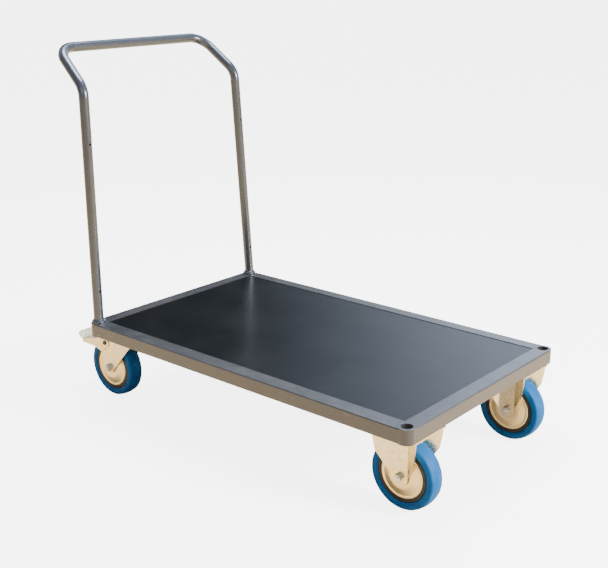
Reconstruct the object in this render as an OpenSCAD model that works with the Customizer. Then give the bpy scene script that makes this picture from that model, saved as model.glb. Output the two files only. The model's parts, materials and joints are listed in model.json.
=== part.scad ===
// Steel platform cart with a plug-in push bar, two fixed casters in front
// and two braked swivel casters behind.
// +X is the way it is pushed, +Y is the left side, +Z is up and z = 0 is the floor.
// The origin is on the floor, under the middle of the whole cart's length.

/* [Platform] */
// Length of the platform
platform_l = 1000; // [700:10:1400]
// Width of the platform
platform_w = 600; // [460:10:900]
// Width of the rim seen from above
rim_w = 36; // [30:1:50]
// Height of the rim
rim_h = 35; // [32:1:50]
// Sheet thickness of the rim and the caster bearers
rim_t = 3; // [2:0.5:4]
// Outer radius of the rim's folds
fold_r = 4; // [3:0.5:6]
// Thickness of the deck panel
deck_t = 12; // [9:1:14]
// How far the deck lies below the rim
deck_recess = 1; // [0.5:0.5:3]
// Gap around the deck panel
deck_gap = 1; // [0.5:0.5:3]
// Width of one cross member
cross_w = 40; // [30:1:60]
// Sheet thickness of a cross member
cross_t = 2.5; // [2:0.5:3]
// Distance between the two cross members
cross_pitch = 250; // [160:10:400]

/* [Push bar] */
// Outer diameter of the push bar's tube
tube_d = 25; // [20:0.5:30]
// Wall of the tube
tube_t = 2; // [1.5:0.5:3]
// Outer diameter of a corner socket
socket_d = 40; // [38:1:50]
// Gap between the tube and its socket, on the radius
socket_gap = 0.3; // [0.3:0.1:0.5]
// Height of the legs, from the deck to the crank
leg_h = 589; // [300:1:800]
// How far the legs lean back over their height
lean_back = 25; // [0:1:60]
// How far each leg leans inward over its height
lean_in = 18.5; // [0:0.5:40]
// How far the crank reaches back from the legs
crank_reach = 113; // [70:1:160]
// How far the crank rises
crank_rise = 88; // [60:1:150]
// How far the crank runs inward
crank_in = 16.5; // [0:0.5:40]
// Bend radius of the tube's middle line
bend_r = 50; // [40:1:60]
// Outer diameter of a stop collar
collar_d = 35; // [32:1:39]
// Height of a stop collar
collar_h = 8; // [5:1:9]
// Diameter of the small holes in the legs
clip_hole_d = 6; // [4:0.5:8]
// Height of the lower small holes above the rim
clip_low_z = 82; // [60:1:120]
// Height of the upper small holes above the rim
clip_high_z = 454; // [200:1:560]

/* [Wheels] */
// Diameter of a tyre
tyre_d = 160; // [130:1:200]
// Width of a tyre
tyre_w = 40; // [36:1:42]
// Shoulder radius of a tyre
shoulder_r = 10; // [6:1:12]
// Diameter at which the tyre sits on the rim
seat_d = 120; // [112:1:124]
// Diameter of a guard disc
guard_d = 104; // [84:1:108]
// Sheet thickness of a guard disc
guard_t = 1.2; // [0.8:0.1:1.5]
// Outer diameter of a hub
hub_d = 36; // [30:1:44]
// Diameter of an axle bolt
axle_d = 10; // [8:0.5:12]
// Outer diameter of an axle sleeve
sleeve_d = 15; // [14:0.5:18]
// Outer diameter of the roller bearing
bearing_d = 22; // [20:0.5:26]

/* [Casters] */
// Room between a tyre's top and the caster's top plate
head_room = 21; // [20:1:40]
// Distance of the caster centres from the platform's ends
caster_inset_x = 59; // [58:1:90]
// Distance of the caster centres from the platform's sides
caster_inset_y = 81; // [70:1:140]
// Length of a caster's top plate
plate_l = 116; // [110:1:116]
// Width of a caster's top plate
plate_w = 108; // [100:1:120]
// Thickness of a caster's top plate
plate_t = 4; // [3:0.5:5]
// Bolt spacing along the cart
bolt_pitch_x = 94; // [92:1:98]
// Bolt spacing across the cart
bolt_pitch_y = 54; // [50:1:60]
// Diameter of the caster bolts
bolt_d = 8; // [6:1:8]
// Sheet thickness of a fork
fork_t = 3; // [2.5:0.5:4]
// Gap between the tyre and a fork leg
fork_gap = 4; // [3.5:0.5:8]
// Width of a fixed fork's flat middle strip
strip_w = 41; // [36:1:50]
// Angle that a fixed fork's flanges turn outward
flange_a = 36; // [20:1:38]
// Distance of the swivel axis ahead of the rear wheel's axle
trail = 52.5; // [50:0.5:56]
// Diameter of the kingpin
kingpin_d = 12; // [10:0.5:14]
// Diameter of the bearing balls
ball_d = 6; // [5:0.5:6]
// Number of balls in a swivel head
ball_count = 24; // [12:1:26]

/* [Brakes] */
// How far a brake pedal turns
brake_a = 11; // [8:1:13]
// Sheet thickness of a brake pedal
pedal_t = 2.6; // [2:0.1:3]
// Length of a brake pad
pad_l = 20; // [14:1:24]
// Height of a brake pad at its front, before it is hollowed
pad_h = 14; // [12:1:18]
// Diameter of a pedal rivet
rivet_d = 8; // [6:0.5:9]

/* [Hidden] */
$fn = 64;
run_gap = 0.06;
face_gap = 0.3;
seam = 0.01;
seam_lap = 0.5;
cut = 1;

// Small offsets between neighbouring pieces
corner_gap = 2;
bearer_margin = 7;
spigot_lift = 3;
kink_over = 2;
collar_edge = 1.5;
screw_margin = 100;
thread_over = 2;
cheek_gap = 0.4;

tyre_r = tyre_d / 2;
axle_z = tyre_r;
plate_z = tyre_d + head_room;
rim_z = plate_z + plate_t;
platform_h = rim_z + rim_h;
deck_z = platform_h - deck_recess;
cross_z = rim_z + rim_t;
cross_h = deck_z - deck_t - cross_z;
end_x = platform_l / 2;
side_y = platform_w / 2;
socket_x = end_x - socket_d / 2;
socket_y = side_y - socket_d / 2;
socket_r = tube_d / 2 + socket_gap;
caster_x = end_x - caster_inset_x;
caster_y = side_y - caster_inset_y;
bearer_x = caster_x - plate_l / 2 - bearer_margin;

// The push bar's middle line, on the left side, from the spigot up to the corner
spigot_z = rim_z + spigot_lift;
kink_z = platform_h + collar_h + kink_over;
leg_top = [-socket_x - lean_back, socket_y - lean_in, platform_h + leg_h];
corner = leg_top + [-crank_reach, -crank_in, crank_rise];
bar_points = [
    [-socket_x, socket_y, spigot_z],
    [-socket_x, socket_y, kink_z],
    leg_top,
    corner,
    [corner.x, -corner.y, corner.z],
    [leg_top.x, -leg_top.y, leg_top.z],
    [-socket_x, -socket_y, kink_z],
    [-socket_x, -socket_y, spigot_z]
];

// The cart runs from the bar's back to the front of the front wheels
back_reach = -corner.x + tube_d / 2;
front_reach = caster_x + tyre_r;
shift_x = (back_reach - front_reach) / 2;

// Fork
leg_y = tyre_w / 2 + fork_gap;
fork_y = leg_y + fork_t;
nut_flat = 17;
nut_h = 10;
head_h = 6.5;
bolt_flat = 13;
bolt_head_h = 5.5;
bolt_nut_h = 6.8;
bolt_hole_d = bolt_d + 0.5;

// Swivel head, from the top plate down
boss_h = 5;
boss_d = 76;
skirt_t = 2.5;
ball_gap = 0.05;
crown_t = 4;
crown_l = 96;
crown_z = plate_z - boss_h - ball_d - crown_t;
pin_head_d = 24;
pin_head_h = 7;
pin_head_z = crown_z - face_gap - pin_head_h;
ball_ring_r = 29;

// Swivel leg and pedal
toe_r = 15;
heel_back = 11;
heel_rise = 36;
throat_x = 29;
throat_rise = 69;
crown_front = 2;
crown_lip = 3;
pivot_back = 9.5;
pivot_drop = 18;
eye_wall = 8;
tread_back = 46;
pad_back = 68;
cheek_r = 14;
cheek_tail = 9;
washer_t = 1;
washer_gap = 0.1;
washer_d = rivet_d + 5;
rivet_head_d = rivet_d + 2;
rivet_head_h = 2;

// Corners of a swivel leg's outline, from the axle's height
fork_heel = [-trail - toe_r - heel_back, axle_z + heel_rise];
fork_throat = [throat_x, axle_z + throat_rise];

// Brake pedal, from the swivel axis: its pivot, and the corners of its outline
pivot = [-trail - pivot_back, crown_z - pivot_drop];
pedal_in_y = fork_y + cheek_gap;
pedal_y = pedal_in_y + pedal_t;
pedal_top = pivot + [-4, 14.4];
pedal_end = pivot + [-94, -10];
tip_end = pivot + [-117, 4];
cheek_belly = [pivot + [-41, -20], pivot + [-14, -29]];
pedal_slope = (pedal_top.y - pedal_end.y) / (pedal_top.x - pedal_end.x);
tread_x = pivot.x - tread_back;
tread_start = [tread_x, pedal_top.y + (tread_x - pedal_top.x) * pedal_slope];
pad_x = pivot.x - pad_back;

screw_d = 5;
screw_in = 9;
screw_head_d = 10;
screw_head_h = 3;
screw_y = side_y - screw_margin;
cap_in = 12;
cap_t = 2;
web_t = 6;
guard_hole_r = hub_d / 2 + 2;
guard_flat_r = 30;
guard_lip = 6;
guard_edge_in = 2.6;
guard_fork_gap = 1.2;
bead_in = 2.5;
hub_proud = 0.5;
flange_l = 41;
waist_w = 49;
waist_z = axle_z + 55;
shoulder_w = 56;
skirt_h = 3.5;
ball_z = crown_z + crown_t + ball_d / 2;

WHEELS = [
    ["front_left", 1, 1],
    ["front_right", 1, -1],
    ["rear_left", -1, 1],
    ["rear_right", -1, -1]
];
REAR = [["rear_left", 1], ["rear_right", -1]];
SIDES = [["left", 1], ["right", -1]];
ENDS = [["front", 1], ["rear", -1]];
WHEEL_PARTS = ["tyre", "rim", "guards", "bearing"];
REAR_PARTS = [
    "top_plate", "kingpin", "balls", "fork", "axle_sleeve", "axle_bolt",
    "pedal", "brake_pad", "pedal_rivets"
];

paint = "dimgray";
zinc = "wheat";

function unit(v) = v / norm(v);

// Moves the whole cart so that the origin lies under the middle of its length
module placed() {
    translate([shift_x, 0, 0]) children();
}

module ring(r_out, r_in, h) {
    difference() {
        cylinder(r = r_out, h = h);
        translate([0, 0, -cut]) cylinder(r = r_in, h = h + 2 * cut);
    }
}

module hex(flat, h) {
    cylinder(d = flat / cos(30), h = h, $fn = 6);
}

// A straight tube between two points
module pipe(a, b, r, wall) {
    d = b - a;
    tilt = acos(d.z / norm(d));
    turn = atan2(d.y, d.x);
    translate(a)
        rotate([0, tilt, turn])
            difference() {
                cylinder(r = r, h = norm(d));
                translate([0, 0, -cut]) cylinder(r = r - wall, h = norm(d) + 2 * cut);
            }
}

// A tube along points, bent to one radius at each inner point.
// A bend's wall is thinner by a hair on each face and runs a little way into the straights.
module bent_pipe(points, bend, r, wall) {
    last = len(points) - 1;
    dirs = [for (i = [1 : last]) unit(points[i] - points[i - 1])];
    turns = [for (i = [1 : last - 1]) acos(min(1, dirs[i - 1] * dirs[i]))];
    takes = concat([0], [for (t = turns) bend * tan(t / 2)], [0]);
    for (i = [0 : last - 1]) {
        pipe(points[i] + dirs[i] * takes[i], points[i + 1] - dirs[i] * takes[i + 1], r, wall);
    }
    for (i = [1 : last - 1]) {
        along = dirs[i - 1];
        side = unit(dirs[i] - (along * dirs[i]) * along);
        up = cross(-side, along);
        centre = points[i] - along * takes[i] + side * bend;
        lap = seam_lap / bend * 180 / PI;
        multmatrix([
            [-side.x, along.x, up.x, centre.x],
            [-side.y, along.y, up.y, centre.y],
            [-side.z, along.z, up.z, centre.z]
        ])
            rotate(-lap)
                rotate_extrude(angle = turns[i - 1] + 2 * lap)
                    translate([bend, 0])
                        difference() {
                            circle(r = r - seam);
                            circle(r = r - wall + seam);
                        }
    }
}

module deck_screw_places() {
    for (x = [-1, 1] * cross_pitch / 2, y = [-1, -1 / 3, 1 / 3, 1] * screw_y) {
        translate([x, y, deck_z - deck_t]) children();
    }
}

module deck() {
    l = platform_l - 2 * (rim_w + deck_gap);
    w = platform_w - 2 * (rim_w + deck_gap);
    color("black")
        difference() {
            translate([-l / 2, -w / 2, deck_z - deck_t]) cube([l, w, deck_t]);
            deck_screw_places() translate([0, 0, -cut]) cylinder(d = screw_d, h = screw_in + cut);
        }
}

module deck_screws() {
    color("silver")
        deck_screw_places() {
            translate([0, 0, -cross_t]) cylinder(d = screw_d, h = cross_t + screw_in);
            translate([0, 0, -cross_t - screw_head_h]) cylinder(d = screw_head_d, h = screw_head_h);
        }
}

// Four holes or fasteners of one caster
module bolt_places() {
    for (x = [-1, 1] * bolt_pitch_x / 2, y = [-1, 1] * bolt_pitch_y / 2) {
        translate([x, y, 0]) children();
    }
}

module all_bolt_places() {
    for (w = WHEELS) {
        translate([w[1] * caster_x, w[2] * caster_y, 0]) bolt_places() children();
    }
}

// Section of a rail: web on the left, a flange at the bottom and one at the top
module rail_section() {
    difference() {
        union() {
            translate([fold_r, 0]) square([rim_w - fold_r, rim_h]);
            translate([0, fold_r]) square([rim_t, rim_h - 2 * fold_r]);
            for (z = [fold_r, rim_h - fold_r]) {
                translate([fold_r, z]) circle(r = fold_r);
            }
        }
        translate([rim_t, rim_t]) square([rim_w, rim_h - 2 * rim_t]);
    }
}

// Folded rail along X, open toward the deck, with its outer face at -reach.
// Its ends are mitred inside the corner and coped round the sockets.
module rail(l, reach, socket_places) {
    web_end = l / 2 - socket_d / 2 - corner_gap;
    mitre_start = socket_d / 2 + corner_gap;
    color(paint)
        difference() {
            intersection() {
                translate([-l / 2, -reach, rim_z])
                    rotate([90, 0, 90]) linear_extrude(l) rail_section();
                translate([0, -reach, 0])
                    linear_extrude(platform_h + cut)
                        polygon([
                            [-web_end, -cut], [web_end, -cut], [web_end, mitre_start],
                            [l / 2 - rim_w, rim_w], [rim_w - l / 2, rim_w], [-web_end, mitre_start]
                        ]);
            }
            for (p = socket_places) {
                translate([p.x, p.y, rim_z - cut]) cylinder(d = socket_d, h = rim_h + 2 * cut);
            }
        }
}

module side_rail(side) {
    difference() {
        rotate(side > 0 ? 180 : 0)
            rail(platform_l, side_y, [for (s = [-1, 1]) [s * socket_x, -socket_y]]);
        all_bolt_places() translate([0, 0, rim_z - cut]) cylinder(d = bolt_hole_d, h = rim_t + 2 * cut);
    }
}

module end_rail(end) {
    difference() {
        rotate(end > 0 ? 90 : -90)
            rail(platform_w, end_x, [for (s = [-1, 1]) [s * socket_y, -socket_x]]);
        all_bolt_places() translate([0, 0, rim_z - cut]) cylinder(d = bolt_hole_d, h = rim_t + 2 * cut);
    }
}

module corner_socket(end, side) {
    color(paint)
        translate([end * socket_x, side * socket_y, rim_z])
            ring(socket_d / 2, socket_r, rim_h);
}

// Plate between the rails that carries two casters, with its inner edge turned up
module caster_bearer(end) {
    outer_x = end_x - rim_w;
    w = 2 * (side_y - rim_w);
    color(paint)
        rotate(end > 0 ? 0 : 180)
            difference() {
                union() {
                    translate([bearer_x, -w / 2, rim_z]) cube([outer_x - bearer_x, w, rim_t]);
                    translate([bearer_x, -w / 2, rim_z]) cube([rim_t, w, cross_h + rim_t]);
                }
                for (s = [-1, 1]) {
                    translate([caster_x, s * caster_y, rim_z - cut])
                        bolt_places() cylinder(d = bolt_hole_d, h = rim_t + 2 * cut);
                }
            }
}

// Channel from web to web, open below, under the deck
module cross_member(end) {
    w = 2 * (side_y - rim_t);
    color(paint)
        difference() {
            translate([end * cross_pitch / 2 - cross_w / 2, -w / 2, cross_z])
                cube([cross_w, w, cross_h]);
            translate([end * cross_pitch / 2 - cross_w / 2 + cross_t, -w / 2 - cut, cross_z - cut])
                cube([cross_w - 2 * cross_t, w + 2 * cut, cross_h - cross_t + cut]);
            deck_screw_places()
                translate([0, 0, -cross_t - cut]) cylinder(d = screw_d, h = cross_t + 2 * cut);
        }
}

module caster_bolts() {
    color("silver")
        all_bolt_places() {
            translate([0, 0, plate_z])
                cylinder(d = bolt_d, h = plate_t + rim_t + bolt_nut_h + thread_over);
            translate([0, 0, plate_z - bolt_head_h]) hex(bolt_flat, bolt_head_h);
        }
}

module caster_nuts() {
    color("silver")
        all_bolt_places()
            translate([0, 0, rim_z + rim_t])
                difference() {
                    hex(bolt_flat, bolt_nut_h);
                    translate([0, 0, -cut]) cylinder(d = bolt_d, h = bolt_nut_h + 2 * cut);
                }
}

// Push bar: one tube, bent four times, with small holes in the front of each leg
module push_bar() {
    color(paint)
        difference() {
            bent_pipe(bar_points, bend_r, tube_d / 2, tube_t);
            for (side = [-1, 1], h = [clip_low_z, clip_high_z]) {
                f = h / leg_h;
                translate([-socket_x - lean_back * f, side * (socket_y - lean_in * f), platform_h + h])
                    rotate([0, 90, 0]) cylinder(d = clip_hole_d, h = tube_d);
            }
        }
}

module bar_end_caps() {
    color("black")
        for (side = [-1, 1]) {
            translate([-socket_x, side * socket_y, spigot_z]) {
                cylinder(r = tube_d / 2 - tube_t, h = cap_in);
                translate([0, 0, -cap_t]) cylinder(r = tube_d / 2 - face_gap, h = cap_t);
            }
        }
}

module stop_collar(side) {
    color(paint)
        translate([-socket_x, side * socket_y, platform_h + face_gap])
            difference() {
                union() {
                    cylinder(d = collar_d, h = collar_h / 2);
                    translate([0, 0, collar_h / 2])
                        cylinder(d1 = collar_d, d2 = tube_d + 2 * collar_edge, h = collar_h / 2);
                }
                translate([0, 0, -cut]) cylinder(d = tube_d, h = collar_h + 2 * cut);
            }
}

// Puts a wheel's parts, made round the Z axis, on the axle that points along +Y
module on_axle() {
    translate([0, 0, axle_z]) rotate([-90, 0, 0]) children();
}

// Tyre profile: sidewalls leaning out to round shoulders and a flat tread
module tyre() {
    half = tyre_w / 2;
    color("dodgerblue")
        on_axle()
            rotate_extrude() {
                translate([seat_d / 2, 0])
                    polygon([
                        [0, -half + bead_in], [tyre_r - seat_d / 2 - shoulder_r, -half],
                        [tyre_r - seat_d / 2 - shoulder_r, half], [0, half - bead_in]
                    ]);
                translate([tyre_r - shoulder_r - seam, -half + shoulder_r])
                    square([shoulder_r + seam, tyre_w - 2 * shoulder_r]);
                for (s = [-1, 1]) {
                    intersection() {
                        translate([tyre_r - shoulder_r, s * (half - shoulder_r)]) circle(r = shoulder_r);
                        translate([tyre_r - shoulder_r - seam, -half]) square([shoulder_r + cut, tyre_w]);
                    }
                }
            }
}

// Rim: hub, web and the outer ring that holds the tyre
module rim() {
    ring_w = tyre_w - 2 * bead_in;
    hub_w = tyre_w + 2 * hub_proud;
    color("black")
        on_axle()
            rotate_extrude() {
                translate([bearing_d / 2, -hub_w / 2]) square([(hub_d - bearing_d) / 2, hub_w]);
                translate([hub_d / 2 - cut, -web_t / 2]) square([(seat_d - hub_d) / 2, web_t]);
                translate([guard_d / 2, -ring_w / 2]) square([(seat_d - guard_d) / 2, ring_w]);
            }
}

// Two dished discs that close the wheel's sides and keep thread off the hub
module guards() {
    edge = tyre_w / 2 - guard_edge_in;
    crown = leg_y - guard_fork_gap;
    color(zinc)
        on_axle()
            rotate_extrude()
                for (s = [0, 1]) {
                    mirror([0, s])
                        polygon([
                            [guard_hole_r, crown - guard_t], [guard_flat_r, crown - guard_t],
                            [guard_d / 2 - guard_t, edge - guard_t],
                            [guard_d / 2 - guard_t, edge - guard_lip],
                            [guard_d / 2, edge - guard_lip], [guard_d / 2, edge],
                            [guard_flat_r, crown], [guard_hole_r, crown]
                        ]);
                }
}

// Roller bearing between the hub and the sleeve, as one ring
module bearing() {
    color("gray")
        on_axle()
            translate([0, 0, -tyre_w / 2])
                ring(bearing_d / 2, sleeve_d / 2 + run_gap, tyre_w);
}

module axle_sleeve() {
    color("silver")
        on_axle()
            translate([0, 0, -leg_y]) ring(sleeve_d / 2, axle_d / 2, 2 * leg_y);
}

// Bolt with its head on the left side and its nut on the right side
module axle_bolt() {
    color("silver")
        on_axle() {
            translate([0, 0, -fork_y - nut_h - thread_over])
                cylinder(d = axle_d, h = 2 * fork_y + nut_h + thread_over);
            translate([0, 0, fork_y]) hex(nut_flat, head_h);
            translate([0, 0, -fork_y - nut_h]) hex(nut_flat, nut_h);
        }
}

module top_plate_stock() {
    difference() {
        translate([-plate_l / 2, -plate_w / 2, plate_z]) cube([plate_l, plate_w, plate_t]);
        bolt_places() translate([0, 0, plate_z - cut]) cylinder(d = bolt_hole_d, h = plate_t + 2 * cut);
    }
}

// Plan of one fixed leg: a flat strip with a flange turned outward on each edge
module flanged_plan() {
    translate([-strip_w / 2, leg_y]) square([strip_w, fork_t]);
    for (s = [-1, 1]) {
        translate([s * strip_w / 2, fork_y]) {
            intersection() {
                circle(r = fork_t);
                translate([s > 0 ? 0 : -fork_t, -fork_t]) square(fork_t);
            }
            rotate(s * flange_a)
                translate([s > 0 ? 0 : -flange_l, -fork_t]) square([flange_l, fork_t]);
        }
    }
}

// Side view of a fixed leg: wide at the plate, round at the axle
module flanged_side() {
    translate([0, axle_z]) circle(r = strip_w / 2);
    polygon([
        [-strip_w / 2, axle_z], [-waist_w, waist_z], [-shoulder_w, plate_z + cut],
        [shoulder_w, plate_z + cut], [waist_w, waist_z], [strip_w / 2, axle_z]
    ]);
}

module fixed_fork() {
    color(zinc)
        difference() {
            union() {
                top_plate_stock();
                intersection() {
                    for (s = [0, 1]) {
                        mirror([0, s, 0]) linear_extrude(plate_z + cut) flanged_plan();
                    }
                    translate([0, plate_w / 2, 0])
                        rotate([90, 0, 0]) linear_extrude(plate_w) flanged_side();
                }
            }
            on_axle() translate([0, 0, -plate_w / 2]) cylinder(d = axle_d, h = plate_w);
        }
}

module top_plate() {
    color(zinc)
        difference() {
            union() {
                top_plate_stock();
                translate([0, 0, plate_z - boss_h]) cylinder(d = boss_d, h = boss_h + cut);
            }
            translate([0, 0, plate_z - boss_h - cut]) {
                cylinder(d = kingpin_d, h = boss_h + plate_t + 2 * cut);
                cylinder(r = boss_d / 2 - skirt_t, h = skirt_h + cut);
            }
        }
}

module kingpin() {
    color("silver") {
        translate([0, 0, pin_head_z]) cylinder(d = kingpin_d, h = rim_z - pin_head_z);
        translate([0, 0, pin_head_z]) cylinder(d = pin_head_d, h = pin_head_h);
    }
}

module balls() {
    color("silver")
        for (i = [0 : ball_count - 1]) {
            rotate(i * 360 / ball_count)
                translate([ball_ring_r, 0, ball_z]) sphere(d = ball_d - 2 * ball_gap, $fn = 24);
        }
}

// Side view of a swivel leg: from the crown back and down to the axle
module swivel_side() {
    translate([-trail, axle_z]) circle(r = toe_r);
    eye_r = rivet_d / 2 + eye_wall;
    front_x = crown_l / 2 - crown_front;
    translate(pivot) circle(r = eye_r);
    polygon([
        [-crown_l / 2, crown_z + crown_t], [pivot.x - eye_r / 6, pivot.y + eye_r - crown_front],
        [pivot.x - eye_r + cut, pivot.y], fork_heel,
        [-trail - toe_r, axle_z], [-trail + toe_r * cos(45), axle_z - toe_r * sin(45)],
        fork_throat, [front_x, crown_z - crown_lip], [front_x, crown_z + crown_t]
    ]);
}

module swivel_fork() {
    color(zinc)
        difference() {
            union() {
                translate([-crown_l / 2, -fork_y, crown_z])
                    cube([crown_l - crown_front, 2 * fork_y, crown_t]);
                for (y = [leg_y, -fork_y]) {
                    translate([0, y + fork_t, 0])
                        rotate([90, 0, 0]) linear_extrude(fork_t) swivel_side();
                }
            }
            translate([0, 0, crown_z - cut]) cylinder(r = kingpin_d / 2 + run_gap, h = crown_t + 2 * cut);
            translate([-trail, 0, 0])
                on_axle() translate([0, 0, -fork_y - cut]) cylinder(d = axle_d, h = 2 * (fork_y + cut));
            at_pivot() translate([0, 0, -fork_y - cut]) cylinder(d = rivet_d, h = 2 * (fork_y + cut));
        }
}

module at_pivot() {
    translate([pivot.x, 0, pivot.y]) rotate([-90, 0, 0]) children();
}

// Side view of the pedal's cheek plate
module cheek_side() {
    translate(pivot) circle(r = cheek_r);
    polygon([
        pivot + [cheek_r * cos(60), cheek_r * sin(60)], pedal_top, pedal_end,
        pedal_end - [0, cheek_tail], cheek_belly[0], cheek_belly[1],
        pivot + [cheek_r * cos(-30), cheek_r * sin(-30)]
    ]);
}

// Side view of the tread plate: down to the end, then up at the tip
module tread_side() {
    polygon([
        tread_start, pedal_end, tip_end, tip_end - [0, pedal_t],
        pedal_end - [0, pedal_t], tread_start - [0, pedal_t]
    ]);
}

module pedal() {
    color(zinc)
        difference() {
            union() {
                for (y = [pedal_in_y, -pedal_y]) {
                    translate([0, y + pedal_t, 0])
                        rotate([90, 0, 0]) linear_extrude(pedal_t) cheek_side();
                }
                translate([0, pedal_y, 0])
                    rotate([90, 0, 0]) linear_extrude(2 * pedal_y) tread_side();
            }
            at_pivot()
                translate([0, 0, -pedal_y - cut])
                    cylinder(r = rivet_d / 2 + run_gap, h = 2 * (pedal_y + cut));
        }
}

// Pad under the tread, hollowed to the tyre as it lies when the pedal is down
module brake_pad() {
    axle_from_pivot = [-trail, axle_z] - pivot;
    c = cos(brake_a);
    s = sin(brake_a);
    axle_down = pivot + [
        axle_from_pivot.x * c + axle_from_pivot.y * s,
        axle_from_pivot.y * c - axle_from_pivot.x * s
    ];
    high = pedal_top.y + (pad_x - pedal_top.x) * pedal_slope - pedal_t;
    color("darkslategray")
        translate([0, tyre_w / 2, 0])
            rotate([90, 0, 0])
                linear_extrude(tyre_w)
                    difference() {
                        polygon([
                            [pad_x, high], [pad_x + pad_l, high + pad_l * pedal_slope],
                            [pad_x + pad_l, high - pad_h], [pad_x, high - pad_h]
                        ]);
                        translate(axle_down) circle(r = tyre_r + face_gap, $fn = 360);
                    }
}

// Rivets that the pedal turns on, each with a spring washer under its head
module pedal_rivets() {
    washer_z = pedal_y + washer_gap;
    color("dimgray")
        at_pivot()
            for (s = [0, 1]) {
                mirror([0, 0, s]) {
                    translate([0, 0, leg_y])
                        cylinder(d = rivet_d, h = washer_z + washer_t - leg_y + seam_lap);
                    translate([0, 0, washer_z]) cylinder(d = washer_d, h = washer_t);
                    translate([0, 0, washer_z + washer_t]) cylinder(d = rivet_head_d, h = rivet_head_h);
                }
            }
}

module wheel_part(part) {
    if (part == "tyre") tyre();
    if (part == "rim") rim();
    if (part == "guards") guards();
    if (part == "bearing") bearing();
}

module rear_part(part) {
    if (part == "top_plate") top_plate();
    if (part == "kingpin") kingpin();
    if (part == "balls") balls();
    if (part == "fork") swivel_fork();
    if (part == "axle_sleeve") translate([-trail, 0, 0]) axle_sleeve();
    if (part == "axle_bolt") translate([-trail, 0, 0]) axle_bolt();
    if (part == "pedal") pedal();
    if (part == "brake_pad") brake_pad();
    if (part == "pedal_rivets") pedal_rivets();
}

// A caster's place: end is 1 in front and -1 behind, side is 1 on the left
module caster_place(end, side) {
    translate([end * caster_x, side * caster_y, 0]) children();
}

placed() {
    deck();
    deck_screws();
    caster_bolts();
    caster_nuts();
    push_bar();
    bar_end_caps();
    for (s = SIDES) {
        side_rail(s[1]);
        stop_collar(s[1]);
        caster_place(1, s[1]) fixed_fork();
    }
    for (e = ENDS) {
        end_rail(e[1]);
        caster_bearer(e[1]);
        cross_member(e[1]);
    }
    for (s = SIDES) caster_place(1, s[1]) axle_sleeve();  // front_axle_sleeves
    for (s = SIDES) caster_place(1, s[1]) axle_bolt();  // front_axle_bolts
    for (w = WHEELS) {
        back = w[1] > 0 ? 0 : trail;
        corner_socket(w[1], w[2]);
        for (p = WHEEL_PARTS) {
            caster_place(w[1], w[2]) translate([-back, 0, 0]) wheel_part(p);
        }
    }
    for (r = REAR, p = REAR_PARTS) {
        caster_place(-1, r[1]) rear_part(p);
    }
}
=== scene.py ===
# %% [markdown]
# # A platform cart with a plug-in push bar
# The cart is a painted steel rim round a black deck panel, carried by four casters.
# Its working shapes come from a packed design model, which is loaded first and never moved.
# This lesson gives those shapes their real surfaces, and adds the small things that a
# design model leaves out: crowned tyres, spun discs, weld beads and softened sheet edges.

import json
import math

import bmesh
import bpy
from mathutils import Matrix, Vector


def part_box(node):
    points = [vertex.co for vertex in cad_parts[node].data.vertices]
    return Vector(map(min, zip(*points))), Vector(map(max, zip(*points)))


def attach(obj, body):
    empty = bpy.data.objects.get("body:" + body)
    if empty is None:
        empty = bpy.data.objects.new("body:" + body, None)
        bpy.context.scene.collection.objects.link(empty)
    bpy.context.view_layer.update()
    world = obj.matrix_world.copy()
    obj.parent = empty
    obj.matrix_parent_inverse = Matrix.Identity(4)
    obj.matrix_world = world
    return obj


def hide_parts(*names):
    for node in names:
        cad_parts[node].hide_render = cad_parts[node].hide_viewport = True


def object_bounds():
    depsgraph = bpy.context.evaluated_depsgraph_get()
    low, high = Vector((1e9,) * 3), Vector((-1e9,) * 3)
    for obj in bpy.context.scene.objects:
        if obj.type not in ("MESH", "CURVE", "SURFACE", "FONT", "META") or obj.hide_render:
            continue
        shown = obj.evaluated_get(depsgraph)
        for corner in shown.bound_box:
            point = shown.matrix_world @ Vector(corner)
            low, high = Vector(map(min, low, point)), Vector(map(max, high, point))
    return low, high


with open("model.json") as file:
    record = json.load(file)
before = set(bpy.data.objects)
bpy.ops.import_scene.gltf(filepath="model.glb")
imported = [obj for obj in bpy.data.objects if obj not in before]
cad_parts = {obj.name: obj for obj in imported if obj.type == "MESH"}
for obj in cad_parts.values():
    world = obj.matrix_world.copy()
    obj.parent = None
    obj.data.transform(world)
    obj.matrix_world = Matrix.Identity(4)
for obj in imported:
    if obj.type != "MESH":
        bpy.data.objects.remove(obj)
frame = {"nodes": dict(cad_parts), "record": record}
CAD_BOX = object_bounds()
MM = 0.001
print("the cart's box runs from", CAD_BOX[0], "to", CAD_BOX[1])

# %% [markdown]
# ## Where things are
# Every place below is read from the loaded pieces, so nothing has to be fitted by eye.
# The box of a piece gives its lowest and highest corner.

# %% Measure the pieces that other things are placed from
NODES = frame["nodes"]
BODIES = frame["record"]["behaviour"]["bodies"]
BODY_OF = {name: body for body, names in BODIES.items() for name in names}
SLOT_OF = {row["node"]: row["material_slot"] for row in frame["record"]["subparts"]}
WHEELS = ["front_left", "front_right", "rear_left", "rear_right"]


def middle(name):
    """The middle of one piece's box."""
    low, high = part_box(name)
    return (Vector(low) + Vector(high)) / 2


DECK_MIDDLE = middle("deck")
RIM_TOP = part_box("rail_left")[1][2]
RIM_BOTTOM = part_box("rail_left")[0][2]
AXLE = {wheel: middle(wheel + "_bearing") for wheel in WHEELS}
print("the rim runs from", round(RIM_BOTTOM, 4), "to", round(RIM_TOP, 4), "above the floor")
print("axles at", {wheel: [round(v, 4) for v in place] for wheel, place in AXLE.items()})

# %% [markdown]
# ## The camera
# A camera looks down its own -Z axis with +Y as its top. It stands in front of the cart, to
# the right, a little below the handle, and looks slightly down. The lens is a moderate
# telephoto, which keeps the platform's far end from shrinking too much.

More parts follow.
